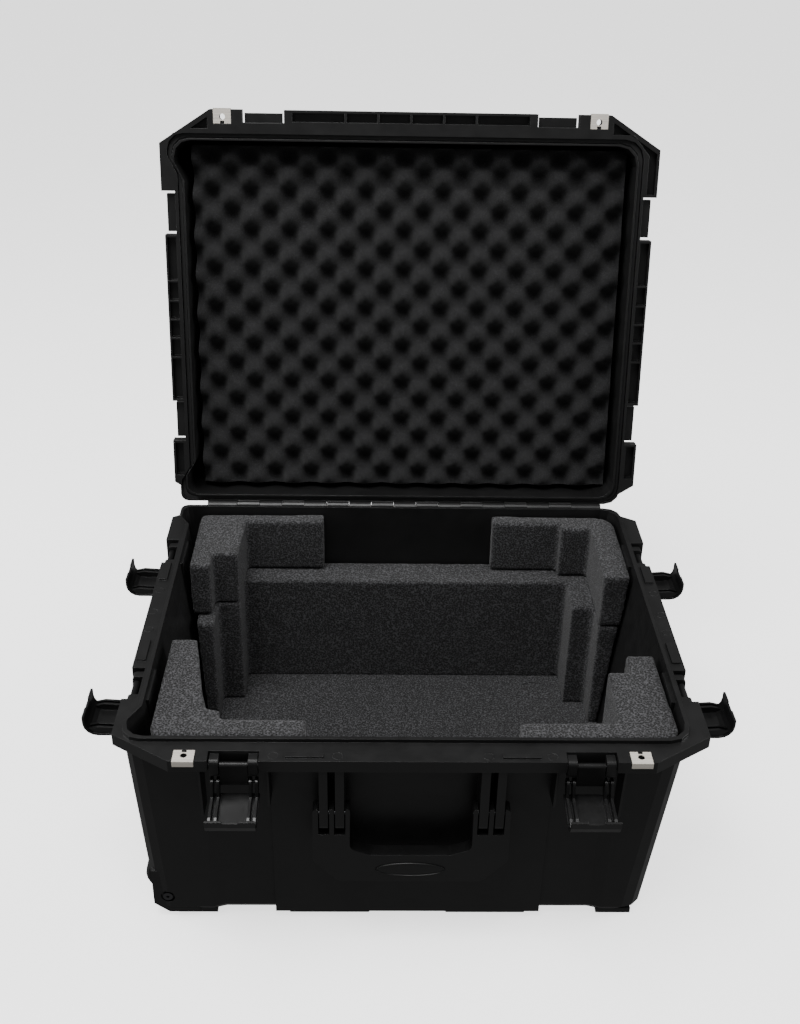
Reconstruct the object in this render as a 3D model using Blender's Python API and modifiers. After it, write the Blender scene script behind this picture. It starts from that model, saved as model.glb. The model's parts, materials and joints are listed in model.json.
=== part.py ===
"""Wheeled hard case with foam inserts, its lid standing open. Units are metres, +Z is up.

The origin is on the ground under the middle of the base, +X is the pull handle's end and -Y the front.
Depths are measured forward from the lid's hinge axis. Heights called h are measured up from the rim,
the plane where the base and the closed lid meet. The lid is modelled closed and then swung open.
"""
import math

import bmesh
import bpy
from mathutils import Matrix, Vector

# Driving dimensions
RIM = 0.257                 # height of the rim above the ground
HINGE_Y = 0.250             # hinge axis, behind the middle of the base
LID_HEIGHT = 0.090
LID_OPEN = math.radians(101.0)
GAP = 0.0003                # between pieces that rest on each other
WALL = 0.0040
FLOOR_UNDER = 0.0060        # underside of the tub between its feet
FLOOR_TOP = 0.0098
FLANGE_DEPTH = 0.014
DEEP_BLOCK = 0.028          # height of the blocks beside the latches
TONGUE_HEIGHT = 0.0045
LATCH_WIDTH = 0.050
LINK_PIN = (0.0084, -0.012)     # out from the latch's notch, and h
LEVER_PIN = (0.0084, -0.033)
LEVER_REACH = 0.054
FRONT_LEVER_REST = math.radians(80.0)   # turned outward from hanging
SIDE_LEVER_REST = math.radians(90.0)
HANDLE_PIVOT = (0.500, -0.075)  # depth and h
WHEEL_RADIUS = 0.0295
WHEEL_WIDTH = 0.025
WHEEL_CENTRE = (-0.266, 0.0310)     # x and height above the ground
WELL_DEPTHS = ((0.0385, 0.0685), (0.4165, 0.4465))
WELL_BLOCKS = ((0.0135, 0.0745), (0.4105, 0.4745))
TUBE_Y = 0.105
TUBE_Z = 0.0106
KNUCKLE_PITCH = 0.030
KNUCKLE_COUNT = 15
HINGE_END = 0.2646

# The flange's outline, right half from the front to the rear: x, depth
FLANGE_HALF = (
    (0.1549, 0.5070), (0.1549, 0.4916), (0.2061, 0.4916), (0.2061, 0.5070), (0.2453, 0.5070),
    (0.3077, 0.4670), (0.3077, 0.4101), (0.2910, 0.4101), (0.2910, 0.3566), (0.3056, 0.3566),
    (0.3056, 0.1432), (0.2910, 0.1432), (0.2910, 0.0894), (0.3077, 0.0894), (0.3077, 0.0322),
    (0.2680, 0.0070),
)
SIDE_BLOCKS = ((0.0322, 0.0894, 0.3077), (0.1432, 0.3566, 0.3056), (0.4101, 0.4320, 0.3077))
SIDE_LATCH_DEPTHS = (0.1163, 0.38335)
FRONT_LATCH_X = 0.1805
NOTCH_X = 0.2910
LEFT_SHIFT = 0.0002
NOTCH_DEPTH = 0.4916

for old in list(bpy.data.objects):
    bpy.data.objects.remove(old)
model = bpy.data.collections.new("drone_carrying_case")
workshop = bpy.data.collections.new("cutters")
bpy.context.scene.collection.children.link(model)
bpy.context.scene.collection.children.link(workshop)


def y_at(depth):
    return HINGE_Y - depth


def z_at(h):
    return RIM + h


# ---------------------------------------------------------------- materials
def material(name, colour, roughness, metallic=0.0):
    new = bpy.data.materials.new(name)
    new.use_nodes = True
    shader = new.node_tree.nodes["Principled BSDF"]
    shader.inputs["Base Color"].default_value = (*colour, 1.0)
    shader.inputs["Roughness"].default_value = roughness
    shader.inputs["Metallic"].default_value = metallic
    new.diffuse_color = (*colour, 1.0)
    return new


SHELL_BLACK = material("moulded_shell", (0.018, 0.018, 0.020), 0.45)
NYLON_BLACK = material("glass_filled_nylon", (0.014, 0.014, 0.015), 0.38)
STEEL = material("stainless_steel", (0.62, 0.61, 0.60), 0.32, 1.0)
DARK_STEEL = material("blackened_steel", (0.06, 0.06, 0.065), 0.35, 1.0)
ALUMINIUM = material("anodised_aluminium", (0.20, 0.20, 0.21), 0.40, 1.0)
BRASS = material("sintered_bronze", (0.42, 0.28, 0.13), 0.45, 1.0)
RUBBER = material("gasket_rubber", (0.012, 0.012, 0.012), 0.75)
TYRE = material("polyurethane_tyre", (0.020, 0.020, 0.021), 0.60)
BASE_FOAM = material("closed_cell_foam", (0.045, 0.045, 0.048), 0.95)
LID_FOAM = material("convoluted_foam", (0.028, 0.029, 0.032), 0.95)


# ---------------------------------------------------------------- modelling tools
def as_object(bm):
    bmesh.ops.recalc_face_normals(bm, faces=bm.faces)
    if bm.calc_volume(signed=True) < 0.0:
        bmesh.ops.reverse_faces(bm, faces=bm.faces)
    mesh = bpy.data.meshes.new("solid")
    bm.to_mesh(mesh)
    bm.free()
    obj = bpy.data.objects.new("solid", mesh)
    workshop.objects.link(obj)
    return obj


def baked(obj):
    graph = bpy.context.evaluated_depsgraph_get()
    return bpy.data.meshes.new_from_object(obj.evaluated_get(graph))


def box(x, y, z):
    """Box between pairs of limits."""
    bm = bmesh.new()
    bmesh.ops.create_cube(bm, size=1.0)
    size = [abs(pair[1] - pair[0]) for pair in (x, y, z)]
    centre = [(pair[0] + pair[1]) / 2 for pair in (x, y, z)]
    bm.transform(Matrix.Translation(centre) @ Matrix.Diagonal((*size, 1.0)))
    return as_object(bm)


def rod(radius, start, end, segments=16):
    start = Vector(start)
    axis = Vector(end) - start
    bm = bmesh.new()
    bmesh.ops.create_cone(bm, cap_ends=True, segments=segments, radius1=radius, radius2=radius,
                          depth=axis.length)
    turn = axis.to_track_quat("Z", "Y").to_matrix().to_4x4()
    bm.transform(Matrix.Translation(start + axis / 2) @ turn)
    return as_object(bm)


def prism(outline, low, high, frame=Matrix.Identity(4)):
    """A flat outline, thickened from low to high along the frame's Z."""
    curve = bpy.data.curves.new("outline", "CURVE")
    curve.dimensions = "2D"
    curve.fill_mode = "BOTH"
    curve.extrude = (high - low) / 2
    spline = curve.splines.new("POLY")
    spline.points.add(len(outline) - 1)
    for point, place in zip(spline.points, outline):
        point.co = (place[0], place[1], 0.0, 1.0)
    spline.use_cyclic_u = True
    guide = bpy.data.objects.new("outline", curve)
    workshop.objects.link(guide)
    bm = bmesh.new()
    bm.from_mesh(baked(guide))
    bpy.data.objects.remove(guide)
    bmesh.ops.remove_doubles(bm, verts=bm.verts, dist=0.00001)
    bmesh.ops.dissolve_limit(bm, angle_limit=0.001, verts=bm.verts, edges=bm.edges)
    bm.transform(frame @ Matrix.Translation((0.0, 0.0, (low + high) / 2)))
    return as_object(bm)


def loft(sections):
    """Closed solid through outlines with the same number of points, each paired with its height."""
    bm = bmesh.new()
    rings = [[bm.verts.new((x, y, height)) for x, y in outline] for outline, height in sections]
    for lower, upper in zip(rings, rings[1:]):
        for here in range(len(lower)):
            ahead = (here + 1) % len(lower)
            bm.faces.new((lower[here], lower[ahead], upper[ahead], upper[here]))
    bmesh.ops.triangulate(bm, faces=bm.faces)
    bm.faces.new(list(reversed(rings[0])))
    bm.faces.new(rings[-1])
    return as_object(bm)


def turned(profile, start, direction, steps=24):
    """A closed profile of (radius, height) points, spun about the line from start."""
    mesh = bpy.data.meshes.new("profile")
    count = len(profile)
    edges = [(here, (here + 1) % count) for here in range(count)]
    mesh.from_pydata([(radius, 0.0, height) for radius, height in profile], edges, [])
    obj = bpy.data.objects.new("profile", mesh)
    workshop.objects.link(obj)
    screw = obj.modifiers.new("turn", "SCREW")
    screw.steps = steps
    screw.render_steps = steps
    screw.use_merge_vertices = True
    screw.merge_threshold = 0.00001
    bm = bmesh.new()
    bm.from_mesh(baked(obj))
    bpy.data.objects.remove(obj)
    turn = Vector(direction).to_track_quat("Z", "Y").to_matrix().to_4x4()
    bm.transform(Matrix.Translation(start) @ turn)
    return as_object(bm)


def shaped(target, tools, operation, solver="EXACT"):
    """Adds (UNION) or takes away (DIFFERENCE) every tool and bakes the result."""
    for tool in tools:
        modifier = target.modifiers.new(operation.lower(), "BOOLEAN")
        modifier.operation = operation
        modifier.solver = solver
        modifier.object = tool
    mesh = baked(target)
    target.modifiers.clear()
    target.data = mesh
    for tool in tools:
        bpy.data.objects.remove(tool)
    return target


def joined(target, tools):
    return shaped(target, tools, "UNION")


def cut(target, tools):
    return shaped(target, tools, "DIFFERENCE")


def placed(obj, matrix):
    obj.data.transform(matrix)
    return obj


def finish(obj, name, surface, pivot=None, turn=Matrix.Identity(4)):
    """Names a finished piece, gives it its material and puts its origin on its pivot."""
    obj.name = name
    obj.data.name = name
    obj.data.materials.clear()
    obj.data.materials.append(surface)
    obj.data.shade_smooth()
    obj.data.set_sharp_from_angle(angle=math.radians(32.0))
    if pivot is not None:
        obj.data.transform(Matrix.Translation(-Vector(pivot)))
        obj.matrix_world = Matrix.Translation(pivot) @ turn
    workshop.objects.unlink(obj)
    model.objects.link(obj)
    return obj


# ---------------------------------------------------------------- outlines
def rounded(corners, segments=3):
    """Outline from corners (x, y, radius), each rounded by an arc of its radius."""
    points = []
    for index, (x, y, radius) in enumerate(corners):
        here = Vector((x, y))
        if radius == 0.0:
            points.append((x, y))
            continue
        back = (Vector(corners[index - 1][:2]) - here).normalized()
        ahead = (Vector(corners[(index + 1) % len(corners)][:2]) - here).normalized()
        half = back.angle(ahead) / 2
        centre = here + (back + ahead).normalized() * (radius / math.sin(half))
        first = here + back * (radius / math.tan(half)) - centre
        last = here + ahead * (radius / math.tan(half)) - centre
        start = math.atan2(first.y, first.x)
        sweep = math.atan2(first.x * last.y - first.y * last.x, first.dot(last))
        for step in range(segments + 1):
            angle = start + sweep * step / segments
            points.append((centre.x + radius * math.cos(angle), centre.y + radius * math.sin(angle)))
    return points


def inset(outline, distance):
    """Outline moved inward by a distance, with sharp corners kept sharp."""
    area = sum(a[0] * b[1] - b[0] * a[1] for a, b in zip(outline, outline[1:] + outline[:1]))
    side = 1.0 if area > 0 else -1.0
    points = []
    for index, place in enumerate(outline):
        here = Vector(place)
        back = (here - Vector(outline[index - 1])).normalized()
        ahead = (Vector(outline[(index + 1) % len(outline)]) - here).normalized()
        normal = Vector((-back.y - ahead.y, back.x + ahead.x)).normalized() * side
        stretch = normal.dot(Vector((-ahead.y, ahead.x)) * side)
        points.append(tuple(here + normal * (distance / stretch)))
    return points


def flange_outline():
    """The left half's notches sit a hair further forward than the right half's."""
    right = [(x, y_at(depth)) for x, depth in FLANGE_HALF]
    left = [(-x, y - LEFT_SHIFT) for x, y in reversed(right)]
    return right + left


def tub_outline(right, inset_x, pillar, front, rear, step=0.004):
    """Plan of the tub: square right end, bulged wheel pillars at the left, proud front corners."""
    corners = (
        (right, rear, 0.020), (right, front, 0.024),
        (0.217, front, 0.0), (0.203, front - step, 0.0),
        (-0.203, front - step, 0.0), (-0.217, front, 0.0),
        (-pillar, front, 0.020), (-pillar, front - 0.0265, 0.005),
        (-inset_x, front - 0.0485, 0.008), (-inset_x, rear + 0.0455, 0.008),
        (-pillar, rear + 0.0275, 0.006), (-pillar, rear, 0.010),
    )
    return rounded([(x, y_at(depth), radius) for x, depth, radius in corners])


def outer_plan(h, shrink=0.0, step=0.004):
    """Outside of the tub at a height h below the rim."""
    down = -h / RIM
    return tub_outline(0.2875 - 0.0255 * down - shrink, 0.2865 - 0.0245 * down - shrink,
                       0.2980 - 0.0150 * down - shrink, 0.4785 - 0.0030 * down - shrink,
                       0.0075 + 0.0050 * down + shrink, step)


def inner_limits(h):
    """Right, left, front and rear limits of the tub's inside at a height h below the rim."""
    down = -h / RIM
    return (0.2835 - 0.0255 * down, 0.2825 - 0.0245 * down, 0.4745 - 0.0030 * down,
            0.0115 + 0.0050 * down)


def inner_plan(h, shrink=0.0, step=0.004):
    right, left, front, rear = inner_limits(h)
    return tub_outline(right - shrink, left - shrink, left + 0.0115 - shrink, front - shrink, rear + shrink,
                       step)


# ---------------------------------------------------------------- latch stations
def station(origin, out):
    """Frame of a latch: X across it, Y outward from its notch, Z up, from the rim."""
    out = Vector(out)
    up = Vector((0.0, 0.0, 1.0))
    across = out.cross(up)
    frame = Matrix((across, out, up)).transposed().to_4x4()
    return Matrix.Translation(origin) @ frame


def latch_stations():
    """Name, frame and resting angle of each latch's lever."""
    stations = []
    for name, side in (("left", -1.0), ("right", 1.0)):
        origin = (side * FRONT_LATCH_X, y_at(NOTCH_DEPTH), RIM)
        stations.append((f"front_{name}", station(origin, (0.0, -1.0, 0.0)), FRONT_LEVER_REST))
    for name, side in (("left", -1.0), ("right", 1.0)):
        for end, depth in zip(("rear", "front"), SIDE_LATCH_DEPTHS):
            origin = (side * NOTCH_X, y_at(depth), RIM)
            stations.append((f"{name}_{end}", station(origin, (side, 0.0, 0.0)), SIDE_LEVER_REST))
    return stations


LATCHES = latch_stations()
SIDE_VIEW = Matrix(((0.0, 0.0, 1.0), (1.0, 0.0, 0.0), (0.0, 1.0, 0.0))).to_4x4()   # (y, z) outlines


# ---------------------------------------------------------------- base shell
def base_flange():
    outline = flange_outline()
    flange = prism(outline, z_at(-FLANGE_DEPTH), z_at(0.0))
    hollow = prism(inset(outline, 0.003), z_at(-FLANGE_DEPTH - 0.001), z_at(-WALL))
    flange = cut(flange, [hollow])
    blocks = []
    hollows = []
    for near, far, reach in SIDE_BLOCKS:
        for side in (-1.0, 1.0):
            y = (y_at(near), y_at(far))
            blocks.append(box((side * 0.283, side * reach), y, (z_at(-DEEP_BLOCK), z_at(-0.002))))
            y = (y_at(near + 0.003), y_at(far - 0.003))
            x = (side * 0.270, side * (reach - 0.003))
            hollows.append(box(x, y, (z_at(-DEEP_BLOCK - 0.001), z_at(-WALL))))
    return cut(joined(flange, blocks), hollows)


def tub_body():
    body = loft(((outer_plan(FLOOR_UNDER - RIM, 0.007), FLOOR_UNDER), (outer_plan(0.016 - RIM), 0.016),
                 (outer_plan(0.0), RIM)))
    tongue = prism(outer_plan(0.0, step=0.0), RIM - 0.0035, z_at(TONGUE_HEIGHT))
    return joined(body, [tongue])


def feet():
    """Corner feet, two middle runners and a centre pad."""
    solids = [box((-0.030, 0.030), (-0.030, 0.030), (0.0, FLOOR_UNDER + 0.001))]
    for side in (-1.0, 1.0):
        x = (side * 0.043, side * 0.132)
        solids.append(box(x, (y_at(0.469), y_at(0.023)), (0.0, FLOOR_UNDER + 0.001)))
    for depths in ((0.400, 0.469), (0.023, 0.092)):
        solids.append(box((0.213, 0.252), [y_at(depth) for depth in depths], (0.0, 0.007)))
    for depths in ((0.4495, 0.469), (0.023, 0.0355)):
        solids.append(box((-0.257, -0.213), [y_at(depth) for depth in depths], (0.0, 0.007)))
    return solids


def front_gusset(x, reach, low):
    """Upright rib between the front wall and the flange."""
    outline = ((y_at(0.4700), z_at(-0.003)), (y_at(reach), z_at(-0.003)), (y_at(reach), z_at(-0.014)),
               (y_at(reach - 0.004), z_at(low + 0.006)), (y_at(0.4700), z_at(low)))
    return prism(outline, x - 0.0012, x + 0.0012, SIDE_VIEW)


def handle_strut(x_inner, x_outer):
    outline = rounded([(y_at(0.4700), z_at(-0.0035), 0.0), (y_at(0.5050), z_at(-0.0035), 0.0),
                       (y_at(0.5075), z_at(-0.060), 0.0), (y_at(0.5075), z_at(-0.094), 0.007),
                       (y_at(0.4700), z_at(-0.097), 0.0)])
    return prism(outline, x_inner, x_outer, SIDE_VIEW)


def latch_mounting(frame):
    """Back plate and ears of one latch, in its station's frame."""
    solids = [placed(box((-0.026, 0.026), (-0.012, 0.0), (-0.026, -0.002)), frame)]
    for side in (-1.0, 1.0):
        ear = rounded([(-0.002, -0.0035, 0.0), (0.0125, -0.0035, 0.004), (0.0135, -0.024, 0.005),
                       (-0.002, -0.025, 0.0)])
        low, high = sorted((side * 0.0149, side * 0.0243))
        solids.append(placed(prism(ear, low, high, SIDE_VIEW), frame))
    return solids


def latch_pin_bore(frame, pin, radius, half_length):
    start = frame @ Vector((-half_length, pin[0], pin[1]))
    end = frame @ Vector((half_length, pin[0], pin[1]))
    return rod(radius, start, end, 10)


def hinge_knuckles(on_lid):
    """Knuckle barrels with their webs. The base has the two long ends and every second barrel."""
    spans = []
    first = -KNUCKLE_PITCH * KNUCKLE_COUNT / 2
    for index in range(KNUCKLE_COUNT):
        if (index % 2 == 0) == on_lid:
            left = first + index * KNUCKLE_PITCH
            spans.append((left + 0.0002, left + KNUCKLE_PITCH - 0.0002))
    if not on_lid:
        spans.append((-HINGE_END, first - 0.0002))
        spans.append((-first + 0.0002, HINGE_END))
    solids = []
    for left, right in spans:
        solids.append(rod(0.006, (left, HINGE_Y, RIM), (right, HINGE_Y, RIM), 12))
        z = (z_at(0.0004), z_at(0.0058)) if on_lid else (z_at(-0.0058), z_at(-0.0004))
        solids.append(box((left, right), (y_at(0.0068 if on_lid else 0.0095), HINGE_Y), z))
    return solids


def hinge_bore():
    return rod(0.0024, (-HINGE_END - 0.002, HINGE_Y, RIM), (HINGE_END + 0.002, HINGE_Y, RIM), 10)


def wheel_well_blocks():
    """Solid corners around the wheels, inside the tub and out to the pillars' end walls."""
    solids = []
    for depths in WELL_BLOCKS:
        solids.append(box((-0.2820, -0.2320), [y_at(depth) for depth in depths], (0.0065, 0.0695)))
    return solids


def wheel_well_cuts():
    cuts = []
    for depths in WELL_DEPTHS:
        cuts.append(box((-0.330, -0.2345), [y_at(depth) for depth in depths], (-0.010, 0.0660)))
    chamfer = ((-0.300, -0.010), (-0.252, -0.010), (-0.252, -0.0005), (-0.2575, 0.0), (-0.2860, 0.0230),
               (-0.300, 0.0330))
    end_view = Matrix(((1.0, 0.0, 0.0), (0.0, 0.0, -1.0), (0.0, 1.0, 0.0))).to_4x4()
    cuts.append(prism(chamfer, -0.260, 0.260, end_view))
    for outer, inner, head in ((0.480, 0.4130, 0.4725), (0.005, 0.0720, 0.0155)):
        x, z = WHEEL_CENTRE
        cuts.append(rod(0.0033, (x, y_at(outer), z), (x, y_at(inner), z)))
        cuts.append(rod(0.0080, (x, y_at(outer), z), (x, y_at(head), z), 20))
    return cuts


def base_shell():
    shell = joined(base_flange(), [tub_body()])
    interior = loft(((inner_plan(FLOOR_TOP - RIM, 0.007), FLOOR_TOP), (inner_plan(0.019 - RIM), 0.019),
                     (inner_plan(-0.003), z_at(-0.003)), (inner_plan(0.0, step=0.0), RIM),
                     (inner_plan(0.0, step=0.0), z_at(TONGUE_HEIGHT + 0.002))))
    shell = cut(shell, [interior])
    solids = feet() + wheel_well_blocks() + hinge_knuckles(on_lid=False)
    for side in (-1.0, 1.0):
        solids.append(front_gusset(side * 0.2152, 0.5050, -0.086))
        solids.append(front_gusset(side * 0.1466, 0.5050, -0.072))
        for inner, outer in ((0.0695, 0.0788), (0.0862, 0.0952)):
            solids.append(handle_strut(*sorted((side * inner, side * outer))))
        # locating tabs on the flange
        solids.append(box((side * 0.0900, side * 0.1286), (y_at(0.5025), y_at(0.4965)),
                          (z_at(-0.002), z_at(0.0020))))
        for near, far in ((0.1465, 0.1835), (0.3070, 0.3445)):
            solids.append(box((side * 0.2925, side * 0.3025), (y_at(far), y_at(near)),
                              (z_at(-0.002), z_at(0.0020))))
        # long ribs that stand off the tube channels
        solids.append(box((-0.190, 0.259), (side * TUBE_Y - 0.0155, side * TUBE_Y + 0.0155),
                          (FLOOR_TOP - 0.002, 0.0183)))
    # raised panel of the front wall
    solids.append(box((-0.147, 0.147), (y_at(0.4765), y_at(0.4700)), (0.010, z_at(-0.012))))
    for _, frame, _ in LATCHES:
        solids.extend(latch_mounting(frame))
    shell = joined(shell, solids)
    cuts = wheel_well_cuts() + [hinge_bore()]
    for _, frame, _ in LATCHES:
        cuts.append(latch_pin_bore(frame, LINK_PIN, 0.0019, 0.0255))
    for side in (-1.0, 1.0):
        cuts.append(box((-0.187, 0.290), (side * TUBE_Y - 0.0125, side * TUBE_Y + 0.0125),
                        (-0.010, 0.0156)))
        cuts.append(rod(0.0042, (side * 0.230, y_at(0.4987), z_at(-0.02)),
                        (side * 0.230, y_at(0.4987), z_at(0.01)), 14))
        cuts.append(box((side * 0.2190, side * 0.2412), (y_at(0.5080), y_at(0.4903)),
                        (z_at(-0.0013), z_at(0.005))))
        x = (side * 0.0655, side * 0.0975)
        pivot = (y_at(HANDLE_PIVOT[0]), z_at(HANDLE_PIVOT[1]))
        cuts.append(rod(0.0029, (x[0], *pivot), (x[1], *pivot)))
    return finish(cut(shell, cuts), "base_shell", SHELL_BLACK)


# ---------------------------------------------------------------- lid
LID_PIVOT = (0.0, HINGE_Y, RIM)
LID_TURN = Matrix.Rotation(-LID_OPEN, 4, "X")


def lid_plan(shift):
    """Plan of the lid's walls: the tub's rim plan moved out by a shift."""
    return tub_outline(0.2875 + shift, 0.2865 + shift, 0.2980 + shift, 0.4785 + shift, 0.0075 - shift,
                       0.0)


def lid_cells():
    """Open cells in the underside of the lid's rim blocks, parted by ribs."""
    low, high = z_at(-0.002), z_at(0.0120)
    cells = []
    ribs = (-0.1463, -0.080, -0.040, 0.0, 0.040, 0.080, 0.1463)
    for left, right in zip(ribs, ribs[1:]):
        cells.append(box((left + 0.0014, right - 0.0014), (y_at(0.5042), y_at(0.4938)), (low, high)))
    for side in (-1.0, 1.0):
        ribs = (0.1450, 0.2010, 0.2260, 0.2500, 0.2740, 0.2990, 0.3550)
        for near, far in zip(ribs, ribs[1:]):
            cells.append(box((side * 0.2918, side * 0.3033), (y_at(far - 0.0012), y_at(near + 0.0012)),
                             (low, high)))
        cells.append(box((side * 0.2940, side * 0.3048), (y_at(0.0865), y_at(0.0420)), (low, high)))
    right_pocket = ((0.2480, 0.4985), (0.3045, 0.4620), (0.3045, 0.4130), (0.2945, 0.4130),
                    (0.2945, 0.4600), (0.2740, 0.4842), (0.2480, 0.4842))
    left_pocket = ((-0.2480, 0.4985), (-0.2690, 0.4848), (-0.2480, 0.4848))
    for pocket in (right_pocket, left_pocket):
        cells.append(prism([(x, y_at(depth)) for x, depth in pocket], low, high))
    return cells


def lid_groove():
    ring = prism(lid_plan(0.0005), z_at(-0.001), z_at(0.0083))
    return cut(ring, [prism(lid_plan(-0.0052), z_at(-0.002), z_at(0.0100))])


def lid_shell():
    flange = prism(flange_outline(), z_at(GAP), z_at(0.016))
    body = loft(((lid_plan(0.003), z_at(0.004)), (lid_plan(0.003), z_at(0.018)),
                 (lid_plan(-0.0085), z_at(LID_HEIGHT - 0.008)), (lid_plan(-0.0165), z_at(LID_HEIGHT))))
    shell = joined(flange, [body])
    interior = loft(((lid_plan(-0.0075), z_at(-0.001)), (lid_plan(-0.0085), z_at(0.018)),
                     (lid_plan(-0.0125), z_at(LID_HEIGHT - 0.012)),
                     (lid_plan(-0.0195), z_at(LID_HEIGHT - WALL))))
    shell = cut(shell, [interior, lid_groove()])
    shell = shaped(shell, lid_cells(), "DIFFERENCE", "MANIFOLD")
    ledges = [placed(box((-0.023, 0.023), (-0.003, 0.0115), (0.009, 0.0173)), frame)
              for _, frame, _ in LATCHES]
    shell = joined(shell, hinge_knuckles(on_lid=True) + ledges)
    cuts = [hinge_bore()]
    for side in (-1.0, 1.0):
        cuts.append(rod(0.0042, (side * 0.230, y_at(0.4987), z_at(-0.01)),
                        (side * 0.230, y_at(0.4987), z_at(0.025)), 14))
        cuts.append(box((side * 0.2190, side * 0.2412), (y_at(0.5080), y_at(0.4903)),
                        (z_at(-0.005), z_at(0.0016))))
    return finish(cut(shell, cuts), "lid_shell", SHELL_BLACK, LID_PIVOT, LID_TURN)


def lid_gasket():
    ring = prism(lid_plan(0.0001), z_at(0.0052), z_at(0.0080))
    ring = cut(ring, [prism(lid_plan(-0.0041), z_at(0.0), z_at(0.0100))])
    return finish(ring, "lid_gasket", RUBBER, LID_PIVOT, LID_TURN)


def lid_foam():
    corners = ((0.2720, 0.024), (0.2720, 0.4640), (-0.2720, 0.4640), (-0.2720, 0.024))
    outline = rounded([(x, y_at(depth), 0.012) for x, depth in corners])
    small = rounded([(x * 0.992, y_at(0.244 + (depth - 0.244) * 0.992), 0.012) for x, depth in corners])
    pad = loft(((outline, z_at(0.016)), (outline, z_at(0.050)), (small, z_at(0.0775))))
    return finish(pad, "lid_foam", LID_FOAM, LID_PIVOT, LID_TURN)


def padlock_plates():
    for level, sign in (("base", -1.0), ("lid", 1.0)):
        for name, side in (("left", -1.0), ("right", 1.0)):
            near, far = (0.0, 0.0010) if sign < 0 else (0.0004, 0.0013)
            z = sorted((z_at(sign * near), z_at(sign * far)))
            plate = box((side * 0.2194, side * 0.2408), (y_at(0.5086), y_at(0.4908)), z)
            drop = sorted((z_at(sign * near), z_at(sign * 0.0065)))
            lip = box((side * 0.2194, side * 0.2408), (y_at(0.5086), y_at(0.5076)), drop)
            plate = joined(plate, [lip])
            hole = rod(0.0036, (side * 0.230, y_at(0.4987), z_at(-0.01)),
                       (side * 0.230, y_at(0.4987), z_at(0.01)), 14)
            slot = box((side * 0.2275, side * 0.2325), (y_at(0.4940), y_at(0.4900)),
                       (z_at(-0.01), z_at(0.01)))
            plate = cut(plate, [hole, slot])
            if level == "base":
                finish(plate, f"padlock_plate_base_{name}", STEEL)
            else:
                finish(plate, f"padlock_plate_lid_{name}", STEEL, LID_PIVOT, LID_TURN)


# ---------------------------------------------------------------- latches
def lever_profile():
    """J-shaped section of the lever, out and h from its pin, hanging down."""
    outer, inner = 0.0160, 0.0135
    bend_out, bend_h = -0.0035, -(LEVER_REACH - outer)
    points = [(bend_out - outer, -0.0020), (bend_out - outer, bend_h)]
    for step in range(1, 5):
        angle = math.pi + math.pi / 2 * step / 4
        points.append((bend_out + outer * math.cos(angle), bend_h + outer * math.sin(angle)))
    points += [(0.0050, -LEVER_REACH), (0.0050, -LEVER_REACH + 0.0025), (bend_out, bend_h - inner)]
    for step in range(3, -1, -1):
        angle = math.pi + math.pi / 2 * step / 4
        points.append((bend_out + inner * math.cos(angle), bend_h + inner * math.sin(angle)))
    points.append((bend_out - inner, -0.0020))
    return points


def lever_rib(low, high):
    """Side rib with the lug around the lever's pin."""
    outline = rounded([(-0.0180, -0.0050, 0.0), (-0.0180, -0.0400, 0.0), (-0.0110, -0.0480, 0.0),
                       (-0.0085, -0.0380, 0.0), (-0.0105, -0.0120, 0.0), (0.0050, -0.0045, 0.003),
                       (0.0050, 0.0050, 0.005), (-0.0060, 0.0050, 0.003)], 2)
    return prism(outline, low, high, SIDE_VIEW)


def latches():
    for name, frame, angle in LATCHES:
        pivot = frame @ Vector((0.0, *LEVER_PIN))
        half = LATCH_WIDTH / 2
        lever = prism(lever_profile(), -half, half, SIDE_VIEW)
        ribs = [lever_rib(*sorted((side * start, side * (start + 0.0028))))
                for side in (-1.0, 1.0) for start in (0.0149, 0.0212)]
        lever = joined(lever, ribs)
        notch = box((-0.008, 0.008), (0.0030, 0.0070), (-LEVER_REACH - 0.001, -LEVER_REACH + 0.005))
        bore = rod(0.0019, (-half - 0.001, 0.0, 0.0), (half + 0.001, 0.0, 0.0), 10)
        lever = cut(lever, [notch, bore])
        lever = finish(lever, f"latch_{name}_lever", NYLON_BLACK)
        turn = Matrix.Rotation(angle, 4, "X")
        lever.matrix_world = Matrix.Translation(pivot) @ frame.to_3x3().to_4x4() @ turn

        link = rounded([(0.0030, 0.0040, 0.0028), (0.0030, -0.0260, 0.0045), (-0.0052, -0.0260, 0.0045),
                        (-0.0042, 0.0040, 0.0040)])
        link = prism(link, -0.0142, 0.0142, SIDE_VIEW)
        bores = [rod(0.0019, (-0.020, 0.0, h), (0.020, 0.0, h), 10) for h in (0.0, LEVER_PIN[1] - LINK_PIN[1])]
        link = finish(cut(link, bores), f"latch_{name}_link", NYLON_BLACK)
        base_pin = frame @ Vector((0.0, *LINK_PIN))
        link.matrix_world = Matrix.Translation(base_pin) @ frame.to_3x3().to_4x4()

        for label, centre in (("lever_pin", pivot), ("base_pin", base_pin)):
            pin = rod(0.0015, (-0.0235, 0.0, 0.0), (0.0235, 0.0, 0.0), 10)
            pin = finish(pin, f"latch_{name}_{label}", DARK_STEEL)
            pin.matrix_world = Matrix.Translation(centre) @ frame.to_3x3().to_4x4()


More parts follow.
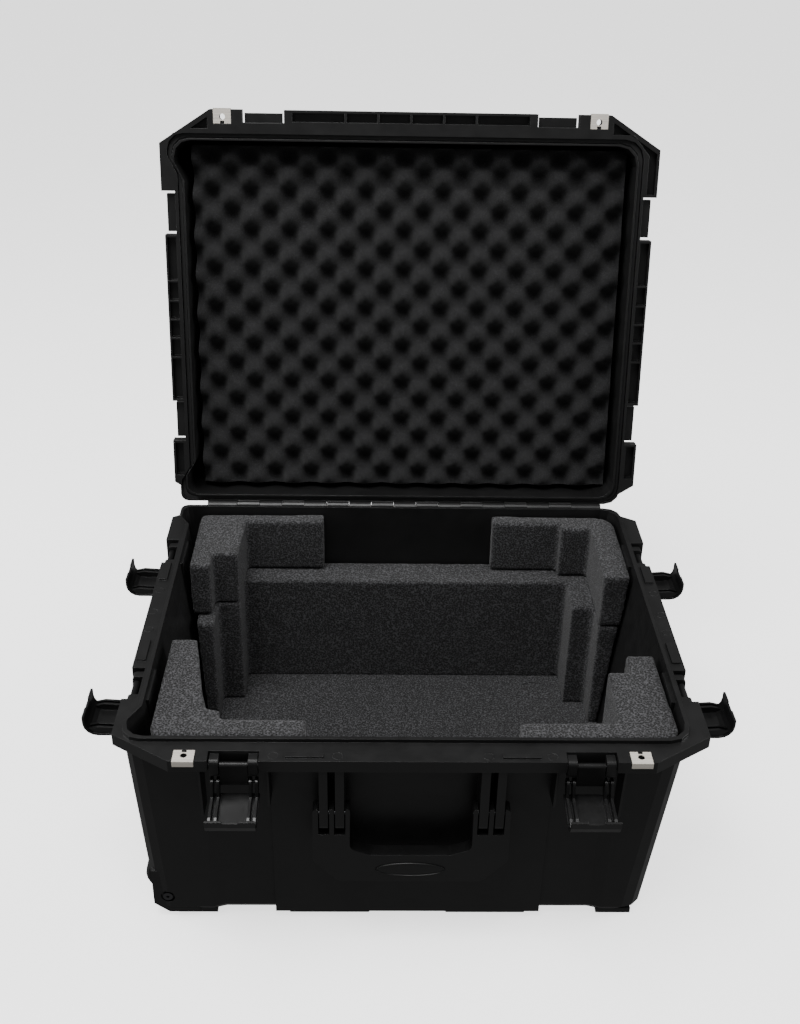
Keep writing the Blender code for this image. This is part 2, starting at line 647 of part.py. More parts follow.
# ---------------------------------------------------------------- front handle
def front_handle():
    pivot = Vector((0.0, y_at(HANDLE_PIVOT[0]), z_at(HANDLE_PIVOT[1])))
    front_view = Matrix(((1.0, 0.0, 0.0), (0.0, 0.0, -1.0), (0.0, 1.0, 0.0))).to_4x4()
    outline = rounded([(0.1020, 0.0100, 0.004), (0.1030, -0.0620, 0.008), (0.0760, -0.0920, 0.010),
                       (-0.0760, -0.0920, 0.010), (-0.1030, -0.0620, 0.008), (-0.1020, 0.0100, 0.004),
                       (-0.0635, 0.0100, 0.002), (-0.0640, -0.0460, 0.009), (-0.0420, -0.0540, 0.010),
                       (0.0420, -0.0540, 0.010), (0.0640, -0.0460, 0.009), (0.0635, 0.0100, 0.002)])
    handle = prism(outline, -0.0075, 0.0070, front_view)
    slots = []
    for side in (-1.0, 1.0):
        for inner, outer in ((0.0683, 0.0800), (0.0850, 0.0964)):
            slots.append(box((side * inner, side * outer), (-0.020, 0.020), (-0.0250, 0.0300)))
    bore = rod(0.0029, (-0.110, 0.0, 0.0), (0.110, 0.0, 0.0))
    inlay_seat = prism(ellipse(0.0372, 0.0100, -0.0745), 0.0062, 0.0200, front_view)
    handle = cut(handle, slots + [bore, inlay_seat])
    handle = finish(handle, "front_handle", NYLON_BLACK)
    handle.matrix_world = Matrix.Translation(pivot)
    inlay = prism(ellipse(0.0365, 0.0093, -0.0745), 0.0065, 0.0074, front_view)
    inlay = finish(inlay, "front_handle_inlay", NYLON_BLACK)
    inlay.matrix_world = Matrix.Translation(pivot)
    for name, side in (("left", -1.0), ("right", 1.0)):
        pin = rod(0.0025, (side * 0.0640, 0.0, 0.0), (side * 0.1015, 0.0, 0.0))
        pin = finish(pin, f"front_handle_pin_{name}", DARK_STEEL)
        pin.matrix_world = Matrix.Translation(pivot)


def ellipse(width, height, centre_h, count=28):
    return [(width * math.cos(2 * math.pi * step / count),
             centre_h + height * math.sin(2 * math.pi * step / count)) for step in range(count)]


# ---------------------------------------------------------------- wheels
def wheels():
    x, z = WHEEL_CENTRE
    half = WHEEL_WIDTH / 2
    for name, depths, outward in (("rear", WELL_DEPTHS[0], 1.0), ("front", WELL_DEPTHS[1], -1.0)):
        y = y_at(sum(depths) / 2)
        centre = (x, y, z)
        axis = (0.0, outward, 0.0)
        rim = WHEEL_RADIUS
        tyre = turned(((0.0213, -half), (rim - 0.003, -half), (rim, -half + 0.003), (rim, half - 0.003),
                       (rim - 0.003, half), (0.0213, half)), centre, axis, 24)
        finish(tyre, f"wheel_{name}_tyre", TYRE, centre)
        hub = turned(((0.0060, -half), (0.0210, -half), (0.0210, half), (0.0060, half)), centre, axis, 24)
        holes = [rod(0.0032, (x + 0.0148 * math.cos(turn), y - 0.02, z + 0.0148 * math.sin(turn)),
                     (x + 0.0148 * math.cos(turn), y + 0.02, z + 0.0148 * math.sin(turn)), 8)
                 for turn in (math.pi * (step + 0.27) / 3 for step in range(6))]
        finish(cut(hub, holes), f"wheel_{name}_hub", NYLON_BLACK, centre)
        bush = turned(((0.0034, -half), (0.0057, -half), (0.0057, half), (0.0034, half)), centre, axis, 16)
        finish(bush, f"wheel_{name}_bush", BRASS, centre)
        face = 0.4725 if outward < 0 else 0.0155
        start = (x, y_at(face) + outward * GAP, z)
        tip = (x, y_at(0.4135 if outward < 0 else 0.0715), z)
        bolt = rod(0.0029, (x, start[1] + outward * 0.0010, z), tip)
        head = rod(0.0055, start, (x, start[1] + outward * 0.0026, z), 20)
        socket = rod(0.0020, (x, start[1] + outward * 0.0012, z), (x, start[1] + outward * 0.0040, z), 6)
        bolt = cut(joined(bolt, [head]), [socket])
        finish(bolt, f"wheel_{name}_axle", DARK_STEEL)


# ---------------------------------------------------------------- pull handle
def rounded_bar(half_width, half_height, y, x_from, x_to, radius):
    outline = rounded([(y - half_width, TUBE_Z - half_height, radius),
                       (y + half_width, TUBE_Z - half_height, radius),
                       (y + half_width, TUBE_Z + half_height, radius),
                       (y - half_width, TUBE_Z + half_height, radius)], 3)
    return prism(outline, x_from, x_to, SIDE_VIEW)


def pull_handle():
    for name, side in (("front", -1.0), ("rear", 1.0)):
        y = side * TUBE_Y
        guide = rounded_bar(0.0108, 0.0044, y, -0.183, 0.256, 0.0040)
        guide = cut(guide, [rounded_bar(0.0098, 0.0035, y, -0.184, 0.257, 0.0033)])
        finish(guide, f"pull_handle_guide_{name}", ALUMINIUM)
        slider = rounded_bar(0.0090, 0.0030, y, -0.170, 0.2700, 0.0028)
        slider = finish(slider, f"pull_handle_tube_{name}", ALUMINIUM)
    outline = rounded([(0.2658, -0.122, 0.004), (0.2658, -0.090, 0.003), (0.2745, -0.080, 0.006),
                       (0.2745, 0.080, 0.006), (0.2658, 0.090, 0.003), (0.2658, 0.122, 0.004),
                       (0.2880, 0.122, 0.010), (0.2880, -0.122, 0.010)])
    grip = prism(outline, 0.0040, 0.0290)
    sockets = [rounded_bar(0.0094, 0.0034, side * TUBE_Y, 0.2600, 0.2703, 0.0032) for side in (-1.0, 1.0)]
    button_seat = box((0.2830, 0.2900), (-0.0206, 0.0206), (0.0114, 0.0216))
    grip = cut(grip, sockets + [button_seat])
    finish(grip, "pull_handle_grip", NYLON_BLACK)
    button = box((0.2862, 0.2892), (-0.0200, 0.0200), (0.0120, 0.0210))
    finish(button, "pull_handle_button", NYLON_BLACK)


# ---------------------------------------------------------------- foam inserts
def foam_block(corners, low_h, high_h):
    """Block over a plan of (x, depth, radius) corners, kept inside the tub's sloping walls."""
    sections = []
    for h in (low_h, high_h):
        right, left, front, rear = inner_limits(h)
        plan = [(min(max(x, 0.0015 - left), right - 0.0015),
                 y_at(min(max(depth, rear + 0.0010), front - 0.0010)), radius)
                for x, depth, radius in corners]
        sections.append((rounded(plan, 3), z_at(h)))
    return loft(sections)


FOAM_TOP = -0.005
LAYER = -0.080
PAD_TOP = -0.237


def clear_of_wells(obj):
    cuts = [box((-0.3000, -0.2308), (y_at(far + 0.0012), y_at(near - 0.0040)), (0.0, 0.0707))
            for near, far in WELL_BLOCKS]
    return cut(obj, cuts)


def base_foam():
    pad = loft(((inner_plan(FLOOR_TOP + GAP - RIM, 0.0085), FLOOR_TOP + GAP),
                (inner_plan(PAD_TOP, 0.0015), z_at(PAD_TOP))))
    grooves = [box((-0.192, 0.280), (side * TUBE_Y - 0.0160, side * TUBE_Y + 0.0160), (0.0, 0.0187))
               for side in (-1.0, 1.0)]
    dimples = [rod(0.0235, (side * 0.182, y_at(0.101), z_at(PAD_TOP - 0.0008)),
                   (side * 0.182, y_at(0.101), z_at(PAD_TOP + 0.01)), 32) for side in (-1.0, 1.0)]
    pad = clear_of_wells(cut(pad, grooves + dimples))
    finish(pad, "base_foam_floor_pad", BASE_FOAM)

    low, high = PAD_TOP + GAP, LAYER - GAP
    lower_rear = foam_block(((-0.290, 0.010, 0.015), (0.290, 0.010, 0.025), (0.272, 0.163, 0.0),
                             (0.246, 0.163, 0.0), (0.246, 0.121, 0.0), (0.218, 0.121, 0.0),
                             (0.218, 0.063, 0.0), (-0.214, 0.063, 0.0), (-0.214, 0.116, 0.0),
                             (-0.243, 0.116, 0.0), (-0.243, 0.164, 0.0), (-0.265, 0.164, 0.0)), low, high)
    finish(clear_of_wells(lower_rear), "base_foam_lower_rear", BASE_FOAM)
    lower_left = foam_block(((-0.265, 0.296, 0.0), (-0.243, 0.296, 0.0), (-0.226, 0.388, 0.0),
                             (-0.217, 0.420, 0.0), (-0.202, 0.436, 0.0), (-0.111, 0.437, 0.0),
                             (-0.111, 0.465, 0.0), (-0.265, 0.465, 0.012)), low, high)
    finish(clear_of_wells(lower_left), "base_foam_lower_front_left", BASE_FOAM)
    lower_right = foam_block(((0.272, 0.322, 0.0), (0.246, 0.322, 0.0), (0.246, 0.353, 0.0),
                              (0.222, 0.353, 0.0), (0.220, 0.440, 0.0), (0.114, 0.441, 0.0),
                              (0.114, 0.465, 0.0), (0.272, 0.465, 0.012)), low, high)
    finish(lower_right, "base_foam_lower_front_right", BASE_FOAM)

    low, high = LAYER, FOAM_TOP
    rear_left = foam_block(((-0.108, 0.010, 0.0), (-0.108, 0.034, 0.0), (-0.211, 0.034, 0.0),
                            (-0.214, 0.115, 0.0), (-0.246, 0.115, 0.0), (-0.246, 0.143, 0.0),
                            (-0.272, 0.143, 0.0), (-0.272, 0.016, 0.007)), low, high)
    finish(rear_left, "base_foam_rear_left", BASE_FOAM)
    rear_right = foam_block(((0.117, 0.010, 0.0), (0.117, 0.034, 0.0), (0.207, 0.034, 0.0),
                             (0.207, 0.047, 0.0), (0.246, 0.047, 0.0), (0.246, 0.163, 0.0),
                             (0.279, 0.163, 0.0), (0.279, 0.016, 0.022)), low, high)
    finish(rear_right, "base_foam_rear_right", BASE_FOAM)
    front_left = foam_block(((-0.271, 0.295, 0.003), (-0.242, 0.295, 0.003), (-0.225, 0.388, 0.0),
                             (-0.217, 0.418, 0.0), (-0.203, 0.420, 0.0), (-0.201, 0.4345, 0.0),
                             (-0.110, 0.4350, 0.0), (-0.109, 0.4630, 0.0), (-0.272, 0.4630, 0.014)),
                            low, high)
    finish(front_left, "base_foam_front_left", BASE_FOAM)
    front_right = foam_block(((0.277, 0.321, 0.003), (0.245, 0.321, 0.0), (0.245, 0.352, 0.0),
                              (0.220, 0.352, 0.0), (0.218, 0.438, 0.0), (0.113, 0.440, 0.0),
                              (0.112, 0.4640, 0.0), (0.279, 0.4640, 0.014)), low, high)
    finish(front_right, "base_foam_front_right", BASE_FOAM)


def hinge_pin():
    pin = rod(0.0020, (-HINGE_END + 0.001, HINGE_Y, RIM), (HINGE_END - 0.001, HINGE_Y, RIM), 12)
    finish(pin, "hinge_pin", STEEL)


base_shell()
lid_shell()
lid_gasket()
lid_foam()
hinge_pin()
padlock_plates()
latches()
front_handle()
wheels()
pull_handle()
base_foam()
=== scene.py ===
"""Looks of the wheeled hard case: moulded plastic, convoluted and cut foam, steel fittings."""
import json
import math

import bmesh
import bpy
from mathutils import Matrix, Vector, noise


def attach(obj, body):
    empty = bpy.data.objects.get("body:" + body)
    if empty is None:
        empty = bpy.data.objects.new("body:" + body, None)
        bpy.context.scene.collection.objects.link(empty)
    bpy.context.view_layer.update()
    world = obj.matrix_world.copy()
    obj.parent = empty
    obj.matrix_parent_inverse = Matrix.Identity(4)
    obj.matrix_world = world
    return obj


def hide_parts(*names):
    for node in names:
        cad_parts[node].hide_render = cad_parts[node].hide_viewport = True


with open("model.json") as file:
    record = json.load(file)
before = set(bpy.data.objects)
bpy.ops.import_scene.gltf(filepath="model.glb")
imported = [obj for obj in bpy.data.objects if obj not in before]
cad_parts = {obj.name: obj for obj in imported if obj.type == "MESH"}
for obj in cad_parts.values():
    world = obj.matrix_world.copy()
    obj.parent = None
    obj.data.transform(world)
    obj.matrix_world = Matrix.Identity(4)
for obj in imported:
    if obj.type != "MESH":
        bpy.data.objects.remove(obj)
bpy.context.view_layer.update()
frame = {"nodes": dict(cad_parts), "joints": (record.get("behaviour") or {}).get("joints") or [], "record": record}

MM = 0.001
nodes = frame["nodes"]
joints = {joint["name"]: joint for joint in frame["joints"]}


# ---------------------------------------------------------------- places
def lid_matrix():
    """Takes a place on the closed lid, measured from the hinge, to where the open lid holds it."""
    hinge = joints["lid_hinge"]
    turn = Matrix.Rotation(-math.radians(hinge["range_deg"][1]), 4, hinge["axis"])
    return Matrix.Translation(hinge["pos_m"]) @ turn


def latch_matrix(joint):
    """Frame at a latch's hinge: X across the latch, Y outward, Z up."""
    across = Vector(joint["axis"])
    up = Vector((0.0, 0.0, 1.0))
    out = up.cross(across)
    turn = Matrix((across, out, up)).transposed().to_4x4()
    return Matrix.Translation(joint["pos_m"]) @ turn


LID = lid_matrix()
HINGE = Vector(joints["lid_hinge"]["pos_m"])


def limits(node, matrix=Matrix.Identity(4)):
    """Lowest and highest corner of a CAD node in another frame."""
    inverse = matrix.inverted()
    points = [inverse @ vertex.co for vertex in nodes[node].data.vertices]
    low = Vector([min(point[axis] for point in points) for axis in range(3)])
    high = Vector([max(point[axis] for point in points) for axis in range(3)])
    return low, high


# ---------------------------------------------------------------- materials
def new_material(name):
    material = bpy.data.materials.new(name)
    material.use_nodes = True
    return material, material.node_tree, material.node_tree.nodes["Principled BSDF"]


def add(tree, kind, **inputs):
    node = tree.nodes.new(kind)
    for label, value in inputs.items():
        node.inputs[label.replace("_", " ")].default_value = value
    return node


def ramp(tree, source, stops):
    """Colour ramp of (place, colour) stops, read from a factor socket."""
    node = tree.nodes.new("ShaderNodeValToRGB")
    elements = node.color_ramp.elements
    while len(elements) < len(stops):
        elements.new(0.5)
    for element, (place, colour) in zip(elements, stops):
        element.position = place
        element.color = (*colour, 1.0)
    tree.links.new(source, node.inputs["Fac"])
    return node.outputs["Color"]


def object_noise(tree, scale, detail=4.0, roughness=0.55):
    place = tree.nodes.new("ShaderNodeTexCoord")
    node = add(tree, "ShaderNodeTexNoise", Scale=scale, Detail=detail, Roughness=roughness)
    tree.links.new(place.outputs["Object"], node.inputs["Vector"])
    return node.outputs["Fac"]


def grey(value, tint=0.0):
    return (value, value, value * (1.0 + tint))


def moulded_plastic(name, base, roughness, grain=900.0, depth=0.10, edge=0.0007):
    """Black plastic with a spark-eroded grain, faint flow marks and slightly worn edges."""
    material, tree, shader = new_material(name)
    flow = object_noise(tree, 9.0, 5.0)
    tree.links.new(ramp(tree, flow, ((0.30, grey(base * 0.82)),
                                     (0.72, grey(base * 1.22, 0.02)))),
                   shader.inputs["Base Color"])
    scuff = object_noise(tree, 46.0, 6.0, 0.65)
    tree.links.new(ramp(tree, scuff, ((0.32, grey(roughness - 0.06)),
                                      (0.70, grey(roughness + 0.07)))),
                   shader.inputs["Roughness"])
    shader.inputs["Specular IOR Level"].default_value = 0.50
    fine = object_noise(tree, grain, 2.0, 0.5)
    bevel = add(tree, "ShaderNodeBevel", Radius=edge)
    bevel.samples = 4
    bump = add(tree, "ShaderNodeBump", Strength=depth, Distance=0.0004)
    tree.links.new(fine, bump.inputs["Height"])
    tree.links.new(bevel.outputs["Normal"], bump.inputs["Normal"])
    tree.links.new(bump.outputs["Normal"], shader.inputs["Normal"])
    return material


def brushed_metal(name, colour, roughness, stretch=(30.0, 900.0, 900.0), metallic=1.0):
    """Metal with fine brush lines along one direction; a lower metallic reads as a matt plate."""
    material, tree, shader = new_material(name)
    place = tree.nodes.new("ShaderNodeTexCoord")
    mapping = tree.nodes.new("ShaderNodeMapping")
    mapping.inputs["Scale"].default_value = stretch
    tree.links.new(place.outputs["Object"], mapping.inputs["Vector"])
    lines = add(tree, "ShaderNodeTexNoise", Scale=1.0, Detail=3.0)
    tree.links.new(mapping.outputs["Vector"], lines.inputs["Vector"])
    darker = tuple(channel * 0.82 for channel in colour)
    tree.links.new(ramp(tree, lines.outputs["Fac"], ((0.3, darker), (0.7, colour))),
                   shader.inputs["Base Color"])
    tree.links.new(ramp(tree, lines.outputs["Fac"], ((0.3, grey(roughness - 0.06)),
                                                     (0.7, grey(roughness + 0.08)))),
                   shader.inputs["Roughness"])
    shader.inputs["Metallic"].default_value = metallic
    bump = add(tree, "ShaderNodeBump", Strength=0.12, Distance=0.0002)
    tree.links.new(lines.outputs["Fac"], bump.inputs["Height"])
    tree.links.new(bump.outputs["Normal"], shader.inputs["Normal"])
    return material


def cell_foam(name, dark, light, cell=420.0, depth=0.9):
    """Cut closed-cell foam: the walls of its cells catch the light between dark pores."""
    material, tree, shader = new_material(name)
    place = tree.nodes.new("ShaderNodeTexCoord")
    cells = add(tree, "ShaderNodeTexVoronoi", Scale=cell, Randomness=1.0)
    tree.links.new(place.outputs["Object"], cells.inputs["Vector"])
    grain = object_noise(tree, cell * 1.1, 3.0, 0.7)
    mix = tree.nodes.new("ShaderNodeMath")
    mix.operation = "MULTIPLY"
    tree.links.new(cells.outputs["Distance"], mix.inputs[0])
    tree.links.new(grain, mix.inputs[1])
    middle = (dark + light) * 0.5
    tree.links.new(ramp(tree, mix.outputs["Value"], ((0.10, grey(dark)),
                                                     (0.27, grey(middle * 0.8, 0.04)),
                                                     (0.42, grey(light, 0.06)))),
                   shader.inputs["Base Color"])
    shader.inputs["Roughness"].default_value = 0.95
    shader.inputs["Specular IOR Level"].default_value = 0.15
    shader.inputs["Sheen Weight"].default_value = 0.08
    shader.inputs["Sheen Roughness"].default_value = 0.6
    bump = add(tree, "ShaderNodeBump", Strength=depth, Distance=0.0012)
    tree.links.new(mix.outputs["Value"], bump.inputs["Height"])
    tree.links.new(bump.outputs["Normal"], shader.inputs["Normal"])
    return material


SHELL = moulded_plastic("shell_black", 0.0070, 0.40)
NYLON = moulded_plastic("nylon_black", 0.0070, 0.33, grain=1400.0, depth=0.05, edge=0.0005)
GASKET = moulded_plastic("gasket_black", 0.010, 0.62, grain=600.0, depth=0.05)
TYRE = moulded_plastic("tyre_black", 0.014, 0.58, grain=700.0, depth=0.12)
STEEL = brushed_metal("steel_plate", (0.95, 0.89, 0.80), 0.42, metallic=0.45)
BLACK_STEEL = brushed_metal("steel_blackened", (0.10, 0.10, 0.105), 0.34)
ALUMINIUM = brushed_metal("aluminium_dark", (0.22, 0.22, 0.23), 0.38)
BRONZE = brushed_metal("bronze_bush", (0.42, 0.28, 0.13), 0.42)
CUT_FOAM = cell_foam("foam_cut", 0.006, 0.075, cell=470.0)
LID_FOAM = cell_foam("foam_convoluted", 0.0080, 0.026, cell=900.0, depth=0.35)

FINISHES = {
    "moulded_shell": SHELL, "glass_filled_nylon": NYLON, "gasket_rubber": GASKET,
    "polyurethane_tyre": TYRE, "stainless_steel": STEEL, "blackened_steel": BLACK_STEEL,
    "anodised_aluminium": ALUMINIUM, "sintered_bronze": BRONZE, "closed_cell_foam": CUT_FOAM,
    "convoluted_foam": LID_FOAM,
}


def smooth(mesh, angle=32.0):
    mesh.shade_smooth()
    mesh.set_sharp_from_angle(angle=math.radians(angle))


def paint_cad():
    """Gives every carried-over CAD node its detailed material."""
    for part in frame["record"]["subparts"]:
        piece = nodes[part["node"]]
        piece.data.materials.clear()
        piece.data.materials.append(FINISHES[part["material_slot"]])
        smooth(piece.data)


# ---------------------------------------------------------------- making pieces
def link(name, mesh, body, slot):
    piece = bpy.data.objects.new(name, mesh)
    bpy.context.scene.collection.objects.link(piece)
    mesh.materials.clear()
    mesh.materials.append(FINISHES[slot])
    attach(piece, body)
    return piece


def mesh_of(bm, name, angle=32.0):
    bmesh.ops.recalc_face_normals(bm, faces=bm.faces)
    mesh = bpy.data.meshes.new(name)
    bm.to_mesh(mesh)
    bm.free()
    smooth(mesh, angle)
    return mesh


# ---------------------------------------------------------------- lid foam
PIT_PITCH = 48.4 * MM       # between pits along a row
ROW_PITCH = 49.0 * MM       # between every second row
PIT_DEPTH = 21.0 * MM
PIT_PHASE = (-0.2240, 0.3776)   # one pit, across and forward of the hinge
PIT_SHARPNESS = 0.86        # below 1, the pits and tips are rounder than a plain cosine
LID_FOAM_GRID = (182, 148)  # columns and rows of faces
FOAM_MARGIN = 0.5 * MM      # kept inside the CAD solid
WOBBLE = 1.2 * MM
WOBBLE_SCALE = 14.0


def crate_depth(x, depth):
    """How far below its tips the convoluted face lies."""
    wave = (math.cos(2 * math.pi * (x - PIT_PHASE[0]) / PIT_PITCH)
            * math.cos(2 * math.pi * (depth - PIT_PHASE[1]) / ROW_PITCH))
    soft = 0.5 + 0.5 * math.copysign(abs(wave) ** PIT_SHARPNESS, wave)
    return PIT_DEPTH * soft


def convoluted_lid_foam():
    """Closed pad with the egg-crate face inward, in place of the plain lid foam."""
    low, high = limits("lid_foam", LID)
    columns, rows = LID_FOAM_GRID
    margin = FOAM_MARGIN
    bm = bmesh.new()
    front = []
    back = []
    for row in range(rows + 1):
        y = low.y + margin + (high.y - low.y - 2 * margin) * row / rows
        line = []
        far = []
        for column in range(columns + 1):
            x = low.x + margin + (high.x - low.x - 2 * margin) * column / columns
            wobble = noise.noise(Vector((x, y, 0.0)) * WOBBLE_SCALE) * WOBBLE
            h = low.z + crate_depth(x, -y) + abs(wobble)
            line.append(bm.verts.new(LID @ Vector((x, y, h))))
            edge = row in (0, rows) or column in (0, columns)
            far.append(bm.verts.new(LID @ Vector((x, y, high.z - margin))) if edge else None)
        front.append(line)
        back.append(far)
    for row in range(rows):
        for column in range(columns):
            bm.faces.new((front[row][column], front[row][column + 1],
                          front[row + 1][column + 1], front[row + 1][column]))
    ring = ([(0, column) for column in range(columns)]
            + [(row, columns) for row in range(rows)]
            + [(rows, column) for column in range(columns, 0, -1)]
            + [(row, 0) for row in range(rows, 0, -1)])
    for here, ahead in zip(ring, ring[1:] + ring[:1]):
        bm.faces.new((front[here[0]][here[1]], front[ahead[0]][ahead[1]],
                      back[ahead[0]][ahead[1]], back[here[0]][here[1]]))
    bm.faces.new([back[row][column] for row, column in ring])
    piece = link("lid_foam_convoluted", mesh_of(bm, "lid_foam_convoluted", 60.0), "lid",
                 "convoluted_foam")
    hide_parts("lid_foam")


# ---------------------------------------------------------------- base foam
THIN_PAD = 15.0 * MM        # a pad thinner than this only gets bevelled edges
FOAM_VOXEL = 2.6 * MM
EDGE_BEVEL = 1.0 * MM
SKIN = 0.30                 # millimetres taken off every face of a cut block
RIPPLES = ((38.0, 0.45), (160.0, 0.30))     # scale and height in millimetres


def cut_foam_block(node):
    """The foam block with softly rounded edges and an uneven knife-cut face."""
    source = bpy.data.objects.new("source", nodes[node].data.copy())
    bpy.context.scene.collection.objects.link(source)
    low, high = limits(node)
    thick = high.z - low.z > THIN_PAD
    if thick:
        remesh = source.modifiers.new("even_faces", "REMESH")
        remesh.mode = "VOXEL"
        remesh.voxel_size = FOAM_VOXEL
        relax = source.modifiers.new("soft_edges", "SMOOTH")
        relax.factor = 0.5
        relax.iterations = 2
    else:
        edge = source.modifiers.new("soft_edges", "BEVEL")
        edge.width = EDGE_BEVEL
        edge.segments = 2
    graph = bpy.context.evaluated_depsgraph_get()
    mesh = bpy.data.meshes.new_from_object(source.evaluated_get(graph))
    bpy.data.objects.remove(source)
    if thick:
        normals = [vertex.normal.copy() for vertex in mesh.vertices]
        for vertex, normal in zip(mesh.vertices, normals):
            ripple = sum(noise.noise(vertex.co * scale) * height for scale, height in RIPPLES)
            vertex.co -= normal * (SKIN + ripple) * MM
    smooth(mesh, 60.0)
    piece = link(f"{node}_cut", mesh, "base", "closed_cell_foam")
    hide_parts(node)


# ---------------------------------------------------------------- small moulded details
def revolved(section, centre, axis, name, body, slot, steps=28):
    """Closed section of (radius, height) points, spun about an axis through a centre."""
    bm = bmesh.new()
    turn = Vector(axis).to_track_quat("Z", "Y").to_matrix().to_4x4()
    matrix = Matrix.Translation(centre) @ turn
    loops = []
    for step in range(steps):
        angle = 2 * math.pi * step / steps
        loops.append([bm.verts.new(matrix @ Vector((r * math.cos(angle), r * math.sin(angle), z)))
                      for r, z in section])
    count = len(section)
    for here, ahead in zip(loops, loops[1:] + loops[:1]):
        for index in range(count):
            after = (index + 1) % count
            bm.faces.new((here[index], ahead[index], ahead[after], here[after]))
    return link(name, mesh_of(bm, name), body, slot)


MARK_SECTION = ((4.7 * MM, -0.2 * MM), (4.9 * MM, 0.16 * MM),
                (5.5 * MM, 0.16 * MM), (5.7 * MM, -0.2 * MM))
FRONT_MARKS = (-0.1405, -0.0760, 0.0760, 0.1405)
FRONT_MARK_DEPTH = 0.4985   # depths are measured forward from the hinge
SIDE_MARK_OFFSET = 0.2985
SIDE_MARK_DEPTHS = (0.205, 0.250, 0.285)


def ejector_marks():
    """Faint raised circles on the flange's top face, beside the locating tabs."""
    places = [(x, HINGE.y - FRONT_MARK_DEPTH) for x in FRONT_MARKS]
    places += [(side * SIDE_MARK_OFFSET, HINGE.y - depth)
               for side in (-1.0, 1.0) for depth in SIDE_MARK_DEPTHS]
    for index, (x, y) in enumerate(places):
        revolved(MARK_SECTION, (x, y, HINGE.z), (0, 0, 1), f"ejector_mark_{index + 1}",
                 "base", "moulded_shell")


BOSS_SECTION = ((1.6 * MM, 0.0), (1.6 * MM, 1.4 * MM), (3.2 * MM, 1.4 * MM),
                (3.9 * MM, 0.7 * MM), (3.9 * MM, 0.0))
EAR_FACE = 24.35            # millimetres from a latch's middle to its ear's outer face
BOSS_STEPS = 20


def latch_bosses():
    """Rounded pin bosses on the outer faces of each latch's ears."""
    for name, joint in joints.items():
        if not name.endswith("_link_swing"):
            continue
        matrix = latch_matrix(joint)
        across = matrix.to_3x3() @ Vector((1.0, 0.0, 0.0))
        for label, side in (("left", -1.0), ("right", 1.0)):
            centre = matrix @ Vector((side * EAR_FACE * MM, 0.0, 0.0))
            revolved(BOSS_SECTION, centre, across * side, f"{name}_boss_{label}",
                     "base", "moulded_shell", BOSS_STEPS)


RING_SECTION = ((-0.3, -0.4), (0.0, 0.5), (0.7, 0.5), (1.0, -0.4))     # outward growth, height
RING_INSET = 0.8 * MM       # from the inlay's edge
RING_STEPS = 72


def handle_ring():
    """Thin raised oval around the blank inlay of the carry handle."""
    low, high = limits("front_handle_inlay")
    centre = (low + high) / 2
    face = low.y
    bm = bmesh.new()
    loops = []
    for step in range(RING_STEPS):
        angle = 2 * math.pi * step / RING_STEPS
        loop = []
        for grow, out in RING_SECTION:
            half_x = (high.x - low.x) / 2 - RING_INSET + grow * MM
            half_z = (high.z - low.z) / 2 - RING_INSET + grow * MM
            place = (centre.x + half_x * math.cos(angle), face - out * MM,
                     centre.z + half_z * math.sin(angle))
            loop.append(bm.verts.new(place))
        loops.append(loop)
    for here, ahead in zip(loops, loops[1:] + loops[:1]):
        for index in range(len(RING_SECTION)):
            after = (index + 1) % len(RING_SECTION)
            bm.faces.new((here[index], ahead[index], ahead[after], here[after]))
    link("front_handle_ring", mesh_of(bm, "front_handle_ring"), "front_handle",
         "glass_filled_nylon")


paint_cad()
convoluted_lid_foam()
ejector_marks()
latch_bosses()
handle_ring()
for node_name in sorted(nodes):
    if node_name.startswith("base_foam_"):
        cut_foam_block(node_name)


# ---------------------------------------------------------------- stage, light and camera
CAMERA_PLACE = (-0.0424, -1.1950, 1.0965)
CAMERA_YAW_PITCH_ROLL = (1.44, 30.4, 1.22)      # degrees
CAMERA_LENS = 43.5


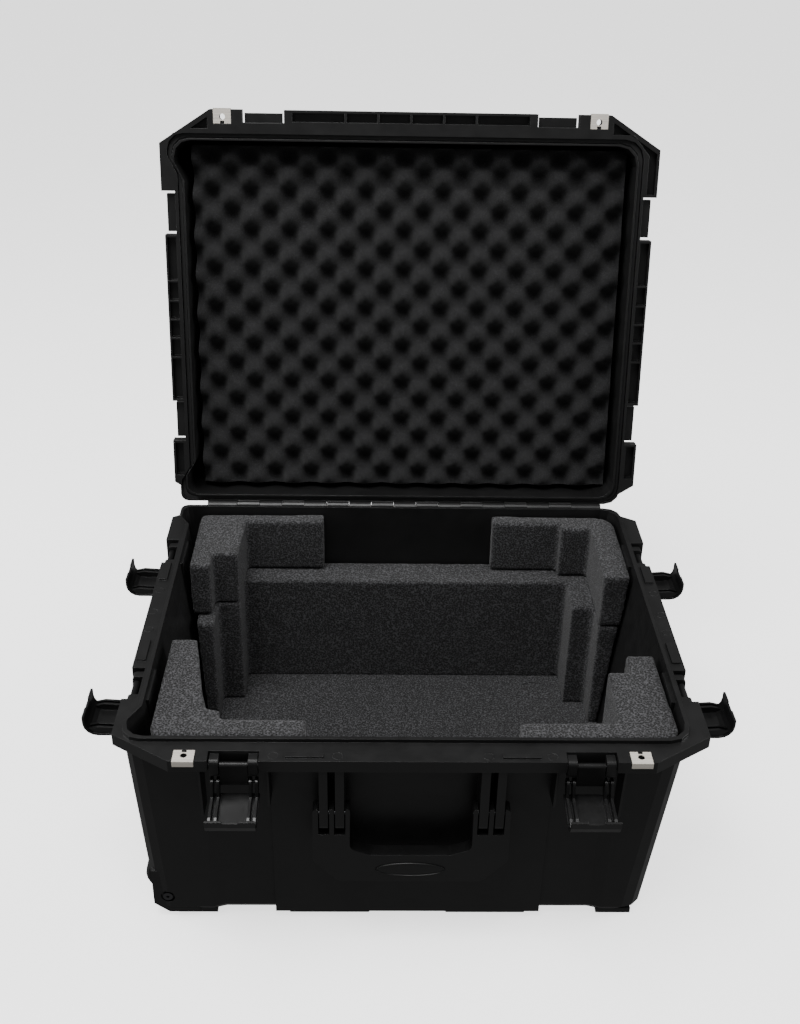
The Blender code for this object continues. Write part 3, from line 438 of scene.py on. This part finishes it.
def camera():
    """Stands in front of and above the case, a little to its left, and looks down at it."""
    place = Vector(CAMERA_PLACE)
    yaw, pitch, roll = (math.radians(angle) for angle in CAMERA_YAW_PITCH_ROLL)
    ahead = Vector((math.sin(yaw) * math.cos(pitch), math.cos(yaw) * math.cos(pitch),
                    -math.sin(pitch)))
    right = Vector((math.cos(yaw), -math.sin(yaw), 0.0))
    up = right.cross(ahead)
    across = right * math.cos(roll) + up * math.sin(roll)
    upward = up * math.cos(roll) - right * math.sin(roll)
    data = bpy.data.cameras.new("camera")
    data.lens = CAMERA_LENS
    data.sensor_width = 36.0
    eye = bpy.data.objects.new("camera", data)
    axes = Matrix((across, upward, -ahead)).transposed().to_4x4()
    eye.matrix_world = Matrix.Translation(place) @ axes
    bpy.context.scene.collection.objects.link(eye)
    bpy.context.scene.camera = eye


def area_light(name, place, target, size, power):
    data = bpy.data.lights.new(name, "AREA")
    data.shape = "RECTANGLE"
    data.size, data.size_y = size
    data.energy = power
    lamp = bpy.data.objects.new(name, data)
    direction = Vector(target) - Vector(place)
    lamp.matrix_world = (Matrix.Translation(place)
                         @ direction.to_track_quat("-Z", "Y").to_matrix().to_4x4())
    bpy.context.scene.collection.objects.link(lamp)


WHITE = (1.0, 1.0, 1.0, 1.0)
FLOOR_SIZE = 14.0
FLOOR_GLOW = 1.7
WORLD_GLOW = 0.20


def stage():
    """Pale floor that doesn't throw its own light back onto the case, and soft lamps around it."""
    material, tree, shader = new_material("floor_pale")
    tone = object_noise(tree, 1.5, 2.0)
    tree.links.new(ramp(tree, tone, ((0.3, grey(0.86)), (0.7, grey(0.90)))),
                   shader.inputs["Base Color"])
    shader.inputs["Roughness"].default_value = 0.9
    shader.inputs["Emission Color"].default_value = WHITE
    shader.inputs["Emission Strength"].default_value = FLOOR_GLOW
    bm = bmesh.new()
    bmesh.ops.create_grid(bm, x_segments=1, y_segments=1, size=FLOOR_SIZE)
    floor = bpy.data.objects.new("floor", mesh_of(bm, "floor"))
    floor.data.materials.append(material)
    floor.visible_diffuse = False
    floor.visible_glossy = False
    bpy.context.scene.collection.objects.link(floor)
    world = bpy.data.worlds.new("studio")
    world.use_nodes = True
    background = world.node_tree.nodes["Background"]
    background.inputs["Color"].default_value = WHITE
    background.inputs["Strength"].default_value = WORLD_GLOW
    bpy.context.scene.world = world
    area_light("key", (-0.5, -0.5, 2.6), (0.0, 0.05, 0.3), (1.5, 1.2), 66.0)
    area_light("left", (-2.0, 0.1, 1.2), (0.0, 0.0, 0.35), (0.9, 1.6), 32.0)
    area_light("right", (2.0, 0.1, 1.2), (0.0, 0.0, 0.35), (0.9, 1.6), 32.0)


camera()
stage()
